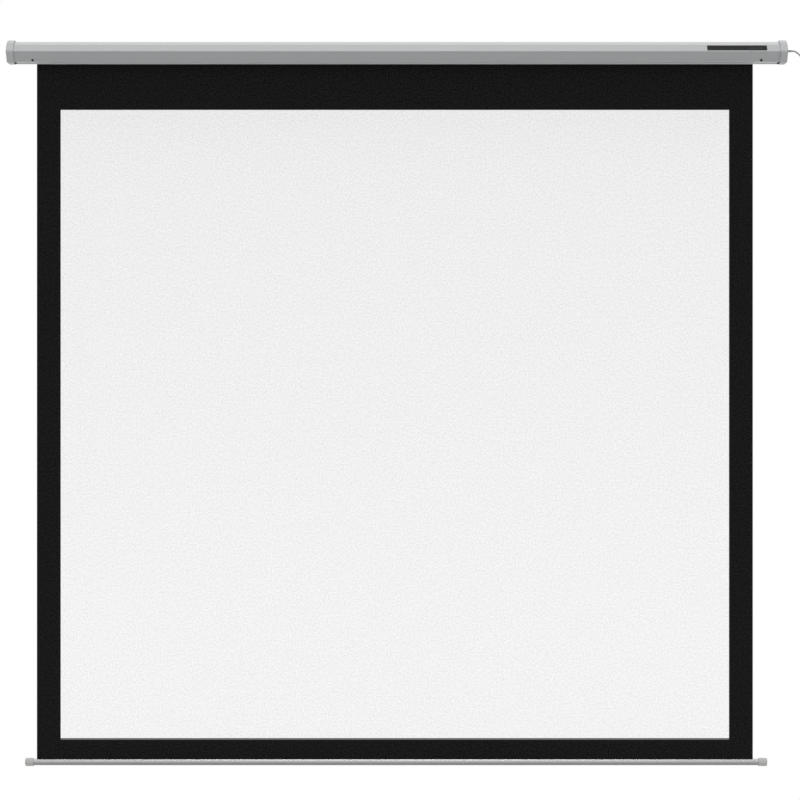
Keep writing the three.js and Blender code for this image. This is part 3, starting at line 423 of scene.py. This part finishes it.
def mottled(tree, colour, vector, rise, mottle, fleck, thread):
    broad = add_effect(tree, grain_group, vector, Scale=mottles_per_metre, Spread=mottle)
    fine = add_effect(tree, grain_group, vector, Scale=flecks_per_metre, Spread=fleck)
    woven = reckon(tree, "MULTIPLY_ADD", rise, thread, 1)
    even = reckon(tree, "MULTIPLY", broad["Tone"], fine["Tone"])
    return toned(tree, colour, reckon(tree, "MULTIPLY", even, woven))


def mixed(tree, factor, first, second):
    mix = tree.nodes.new("ShaderNodeMix")
    mix.data_type = "RGBA"
    tree.links.new(factor, mix.inputs["Factor"])
    sockets = [socket for socket in mix.inputs if socket.type == "RGBA"]
    for socket, colour in zip(sockets, (first, second)):
        feed(tree, socket, colour)
    return next(socket for socket in mix.outputs if socket.type == "RGBA")


def between(tree, value, low, high):
    return reckon(tree, "COMPARE", value, (low + high) / 2, (high - low) / 2)


black_tone = tint(23, 23, 23)
white_tone = tint(243, 243, 243)
# A thin grey band along the foot of the white area is painted shadow under the white coat's edge.
edge_shadow_tone = tint(108, 108, 108)
black_weave = {"mottle": 3.5, "fleck": 0.9, "thread": 0.25}
white_weave = {"mottle": 0.47, "fleck": 0.14, "thread": 0.03}
edge_shadow_under, edge_shadow_over = 0.0046, 0.0003
cloth_front_surface, cloth_shader, on_cloth, rise = cloth_surface("cloth_front", white_tone)
tree = cloth_front_surface.node_tree
spot = apart(tree, on_cloth)
across = between(tree, spot["X"], picture_low.x - cloth_left, picture_high.x - cloth_left)
picture_foot = picture_low.z - cloth_foot
picture_rows = between(tree, spot["Y"], picture_foot, picture_high.z - cloth_foot)
edge_shadow_rows = between(tree, spot["Y"], picture_foot - edge_shadow_under, picture_foot + edge_shadow_over)
coated = mixed(
    tree,
    reckon(tree, "MULTIPLY", across, picture_rows),
    mottled(tree, black_tone, on_cloth, rise, **black_weave),
    mottled(tree, white_tone, on_cloth, rise, **white_weave),
)
edge_shadowed = mixed(tree, reckon(tree, "MULTIPLY", across, edge_shadow_rows), coated, (*edge_shadow_tone, 1))
tree.links.new(edge_shadowed, cloth_shader.inputs["Base Color"])

cloth_back_surface, back_shader, on_back, rise = cloth_surface("cloth_back", black_tone)
tree = cloth_back_surface.node_tree
back_paint = mottled(tree, black_tone, on_back, rise, **black_weave)
tree.links.new(back_paint, back_shader.inputs["Base Color"])


def new_verts(made):
    return [v for v in made["geom"] if isinstance(v, bmesh.types.BMVert)]


bm = bmesh.new()
bm.loops.layers.uv.new("UVMap")
bmesh.ops.create_grid(
    bm, x_segments=cloth_cells, y_segments=cloth_cells, size=0.5, calc_uvs=True
)
bmesh.ops.scale(bm, vec=(*cloth_size, 1), verts=bm.verts)
upright = Matrix.Rotation(math.radians(90), 3, "X")
bmesh.ops.rotate(bm, cent=(0, 0, 0), matrix=upright, verts=bm.verts)
cloth_middle = ((cloth_left + cloth_right) / 2, cloth_front, (cloth_foot + cloth_top) / 2)
bmesh.ops.translate(bm, vec=cloth_middle, verts=bm.verts)
backed = bmesh.ops.extrude_face_region(bm, geom=bm.faces[:], use_keep_orig=True)
bmesh.ops.translate(bm, vec=(0, cloth_back - cloth_front, 0), verts=new_verts(backed))
bmesh.ops.recalc_face_normals(bm, faces=bm.faces)
for face in bm.faces:
    face.material_index = 0 if face.normal.y < -0.5 else 1
cloth = piece_from(bm, "hanging_cloth", cloth_front_surface, cloth_back_surface)
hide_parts("screen_fabric", "viewing_surface")
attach(cloth, "housing")
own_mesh(cloth)

# Wound cloth: the last two turns of the same black sheet, which never leave the roller. They are
# taped to the tube at their inner end, and their outer end is where the hanging cloth leaves.
wound_turns = 2
turn_steps = 64
wound_thickness = 0.0002
wound_pitch = 0.00025
roll_low, roll_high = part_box("fabric_wrap")
roll_middle = (roll_low + roll_high) / 2
wound_end = (roll_high.y - roll_low.y) / 2 - wound_thickness
wound_start = wound_end - wound_turns * wound_pitch
wound_length = math.pi * wound_turns * (wound_start + wound_end)
leaving_angle = -math.asin((roll_middle.z - cloth_top) / wound_end)
all_steps = wound_turns * turn_steps
step_turn = Matrix.Rotation(-2 * math.pi / turn_steps, 3, "X")
step_growth = (wound_end / wound_start) ** (1 / all_steps)
bm = bmesh.new()
wound_uv = bm.loops.layers.uv.new("UVMap")
taped_side = (wound_start * math.cos(leaving_angle), wound_start * math.sin(leaving_angle))
row = bm.edges.new([bm.verts.new((x, *taped_side)) for x in (cloth_left, cloth_right)])
for step in range(all_steps):
    leading = new_verts(bmesh.ops.extrude_edge_only(bm, edges=[row]))
    row = bm.edges.get(leading)
    bmesh.ops.rotate(bm, cent=(0, 0, 0), matrix=step_turn, verts=leading)
    bmesh.ops.scale(bm, vec=(1, step_growth, step_growth), verts=leading)
    for loop in row.link_faces[0].loops:
        steps_left = all_steps - step - (1 if loop.vert in leading else 0)
        above_top = wound_length * steps_left / all_steps / cloth_drop
        loop[wound_uv].uv = ((loop.vert.co.x - cloth_left) / cloth_width, 1 + above_top)
outside = bmesh.ops.extrude_face_region(bm, geom=bm.faces[:], use_keep_orig=True)
thicker = 1 + 2 * wound_thickness / (wound_start + wound_end)
bmesh.ops.scale(bm, vec=(1, thicker, thicker), verts=new_verts(outside))
bmesh.ops.recalc_face_normals(bm, faces=bm.faces)
for face in bm.faces:
    face.smooth = abs(face.normal.x) < 0.5
bmesh.ops.translate(bm, vec=(0, roll_middle.y, roll_middle.z), verts=bm.verts)
wound_cloth = piece_from(bm, "wound_cloth", cloth_back_surface)
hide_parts("fabric_wrap")
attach(wound_cloth, "roller")

# Bottom bar: a round steel tube with a bright satin finish that keeps the cloth taut. The cloth
# enters through a slot along its top and is held by a steel rod in its hem. A rounded cap of grey
# plastic is pushed over each end.
bar_metal = worked_surface(
    "bar_metal",
    tint(146, 147, 146),
    0.21,
    0.9,
    cloud=0.04,
    grain=600,
    depth=0.0000005,
    stretch=(0.05, 1, 1),
    sheen=0.02,
)
dress(bar_metal, "bar_tube")
dress(tube_steel, "hem_rod")
foot_plastic = worked_surface(
    "foot_plastic", tint(165, 166, 163), 0.4, 0.1, specular=0.35, grain=1600, depth=0.00006
)
dress(foot_plastic, "bar_cap_left", "bar_cap_right")

# End caps: injection-moulded plastic in the case's colour with a fine spark-eroded grain, pushed
# over the case's ends and held by a screw from below.
cap_plastic = worked_surface(
    "cap_plastic",
    tint(167, 168, 169),
    0.45,
    0.12,
    specular=0.25,
    grain=1600,
    depth=0.00006,
    radius=0.0008,
)
dress(cap_plastic, "end_cap_left", "end_cap_right")

# Screws: black-oxide steel with pan heads and a cross recess. At each end of the case one goes up
# into the cap and one through the lower front facet into the bracket's flange.
black_steel = worked_surface(
    "black_steel", tint(36, 36, 38), 0.32, 0.8, cloud=0.2, grain=1500, depth=0.000006, rub=1.0
)
screw_sides = 32
hub_share, arm_share, recess_taper, recess_share = 0.2, 0.25, 0.7, 0.45


def cross_screw(name, seat, facing, head_radius, head_height, shank_radius, shank_length):
    outline = (
        (0, -shank_length),
        (shank_radius * 0.5, -shank_length),
        (shank_radius, -shank_length + shank_radius * 0.7),
        (shank_radius, 0),
        (head_radius, 0),
        (head_radius, head_height * 0.5),
        (head_radius * 0.95, head_height * 0.75),
        (head_radius * 0.8, head_height * 0.93),
        (head_radius * 0.6, head_height),
        (head_radius * hub_share, head_height),
        (0, head_height),
    )
    bm = bmesh.new()
    profile = [bm.verts.new((radius, 0, up)) for radius, up in outline]
    for low, high in zip(profile, profile[1:]):
        bm.edges.new((low, high))
    bmesh.ops.spin(
        bm,
        geom=bm.verts[:] + bm.edges[:],
        axis=(0, 0, 1),
        angle=2 * math.pi,
        steps=screw_sides,
        use_merge=True,
    )
    bmesh.ops.remove_doubles(bm, verts=bm.verts, dist=0.000001)
    sort_faces(bm)
    half_side = Matrix.Rotation(math.pi / screw_sides, 3, "Z")
    bmesh.ops.rotate(bm, matrix=half_side, verts=bm.verts)
    recess = []
    for face in bm.faces:
        centre = face.calc_center_median()
        reach = math.hypot(centre.x, centre.y)
        aside = min(abs(centre.x), abs(centre.y))
        on_cross = reach < head_radius * hub_share or aside < reach * arm_share
        if centre.z > head_height * 0.99 and on_cross:
            recess.append(face)
    sunk = new_verts(bmesh.ops.extrude_face_region(bm, geom=recess))
    bmesh.ops.delete(bm, geom=recess, context="FACES_ONLY")
    bmesh.ops.scale(bm, vec=(recess_taper, recess_taper, 1), verts=sunk)
    bmesh.ops.translate(bm, vec=(0, 0, -head_radius * recess_share), verts=sunk)
    bmesh.ops.recalc_face_normals(bm, faces=bm.faces)
    for face in bm.faces:
        face.smooth = face.normal.z < 0.99 and face.calc_center_median().z > 0
    turn = facing.to_track_quat("Z", "Y").to_matrix().to_4x4()
    bmesh.ops.transform(bm, matrix=Matrix.Translation(seat) @ turn, verts=bm.verts)
    screw = piece_from(bm, name + "_detail", black_steel)
    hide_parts(name)
    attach(screw, "housing")


for side, name in ((-1, "left"), (1, "right")):
    cross_screw(
        "cap_screw_" + name,
        seat=Vector((side * 1.0621, -0.0392254, -0.0293183)),
        facing=Vector((0, 0, -1)),
        head_radius=0.0033,
        head_height=0.0036,
        shank_radius=0.0016,
        shank_length=0.0075,
    )
    cross_screw(
        "bracket_screw_" + name,
        seat=Vector((side * 1.0135, -0.0511548, -0.0237662)),
        facing=Vector((0, -0.73135, -0.682)),
        head_radius=0.0034,
        head_height=0.0022,
        shank_radius=0.0016,
        shank_length=0.006,
    )

# Label: a black vinyl strip on the upper facet near the right end, bare but for a thin silver rule
# round it and a short one. It follows the facet and lies a twentieth of a millimetre off the paint.
label_length, label_width, label_thickness = 0.1667, 0.021, 0.0003
label_corner = 0.0015
label_margin, rule_width = 0.0008, 0.00025
label_middle = (0.9449, -0.06274, 0.0088)
glue_gap = 0.00005
facet_lean = math.radians(90 - 43.5)
short_rule_size = (label_length * 0.24, 0.0006, 0.0001)
short_rule_middle = (label_length * 0.3, -0.001, label_thickness + 0.0001)
label_vinyl = worked_surface(
    "label_vinyl",
    tint(13, 13, 14),
    0.5,
    specular=0.12,
    cloud=0.1,
    grain=1200,
    depth=0.000006,
    rub=0.4,
)
silver_print = worked_surface(
    "silver_print", tint(96, 98, 100), 0.4, 0.5, cloud=0.06, grain=2400, depth=0.000002
)
bm = bmesh.new()
bmesh.ops.create_grid(bm, x_segments=1, y_segments=1, size=0.5)
bmesh.ops.scale(bm, vec=(label_length, label_width, 1), verts=bm.verts)
bmesh.ops.bevel(
    bm,
    geom=bm.verts[:],
    offset=label_corner,
    offset_type="OFFSET",
    affect="VERTICES",
    segments=4,
    profile=0.5,
    material=-1,
)
for thickness, slot in ((label_margin, 0), (rule_width, 1)):
    inner = max(bm.faces, key=lambda face: face.calc_area())
    rim = bmesh.ops.inset_region(
        bm, faces=[inner], thickness=thickness, use_even_offset=True, use_boundary=True
    )
    for face in rim["faces"]:
        face.material_index = slot
raised = bmesh.ops.extrude_face_region(bm, geom=bm.faces[:], use_keep_orig=True)
bmesh.ops.translate(bm, vec=(0, 0, label_thickness), verts=new_verts(raised))
bmesh.ops.recalc_face_normals(bm, faces=bm.faces)
short_rule = bmesh.ops.create_cube(bm, size=1)["verts"]
bmesh.ops.scale(bm, vec=short_rule_size, verts=short_rule)
bmesh.ops.translate(bm, vec=short_rule_middle, verts=short_rule)
for face in {face for vert in short_rule for face in vert.link_faces}:
    face.material_index = 1
lean = Matrix.Rotation(facet_lean, 4, "X")
bmesh.ops.transform(bm, matrix=lean, verts=bm.verts)
label_place = Vector(label_middle) + lean @ Vector((0, 0, glue_gap))
bmesh.ops.translate(bm, vec=label_place, verts=bm.verts)
label = piece_from(bm, "label_strip", label_vinyl, silver_print)
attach(label, "housing")

# Mains cord: round grey PVC flex, 4.4 mm thick. It leaves the right cap through a tapered relief,
# hangs down, and the rest is wound into a tied coil that ends in a moulded two-pin plug.
cord_pvc = worked_surface("cord_pvc", tint(132, 133, 134), 0.45, grain=1200, depth=0.00001)
dress(cord_pvc, "strain_relief", "plug_body")
dress(black_plastic, "cord_tie")
dress(brass, "plug_pin_front", "plug_pin_rear")
cord_diameter = 0.0044
cord_tuck = 0.0002
touch_gap = 0.0003
relief_low, relief_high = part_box("strain_relief")
relief_middle = (relief_low + relief_high) / 2
cord_exit = Vector((relief_high.x - cord_tuck, relief_middle.y, relief_middle.z))
cord_start = Vector((relief_high.x + touch_gap, relief_middle.y, relief_middle.z))
route_in_mm = [
    (0, 0),
    (3, -0.1),
    (6, -0.65),
    (9.5, -2),
    (13.5, -4.6),
    (18.5, -8.9),
    (24, -14.9),
    (29.2, -22.6),
    (33.8, -32.4),
    (37.6, -44),
    (40.3, -56),
    (42.2, -66.5),
    (43.9, -75),
    (46.2, -81.6),
    (50.2, -86.4),
    (55.5, -89.5),
    (61.6, -90.6),
    (66, -90.6),
]
route = [Vector((x / 1000, 0, z / 1000)) for x, z in route_in_mm]
coil_turns = 7.25
coil_radius = 0.0354
coil_pitch = 0.0049
coil_steps_per_turn = 24
layer_crossing = 0.5
coil_middle = cord_start + route[-1] + Vector((touch_gap + cord_diameter, 0, -coil_radius))


def coil_point(turn):
    half = coil_turns / 2
    step = min(max(turn - half + layer_crossing / 2, 0) / layer_crossing, 1)
    climb = coil_pitch * step * step * (3 - 2 * step)
    radius = coil_radius - coil_pitch * (half - abs(turn - half))
    angle = math.pi / 2 - 2 * math.pi * turn
    return coil_middle + Vector((radius * math.cos(angle), climb, radius * math.sin(angle)))


cord_path = [cord_exit] + [cord_start + point for point in route[1:]]
coil_steps = round(coil_turns * coil_steps_per_turn)
cord_path += [coil_point(coil_turns * i / coil_steps) for i in range(coil_steps + 1)]
plug_gap = 0.0006
tail_top = cord_path[-1]
tail_length = tail_top.z - (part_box("plug_body")[1].z - plug_gap)
for share in (0.2, 0.6, 1):
    cord_path.append(tail_top - Vector((0, 0, tail_length * share)))
cord_curve = bpy.data.curves.new("mains_cord", "CURVE")
cord_curve.dimensions = "3D"
cord_curve.bevel_depth = cord_diameter / 2
cord_curve.bevel_resolution = 4
cord_curve.resolution_u = 4
cord_curve.use_fill_caps = True
spline = cord_curve.splines.new("BEZIER")
spline.bezier_points.add(len(cord_path) - 1)
for knot, point in zip(spline.bezier_points, cord_path):
    knot.co = point
    knot.handle_left_type = knot.handle_right_type = "AUTO"
cord_curve.materials.append(cord_pvc)
cord = bpy.data.objects.new("mains_cord", cord_curve)
collection.objects.link(cord)
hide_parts("power_cord", "cord_coil", "cord_tail")
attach(cord, "housing")
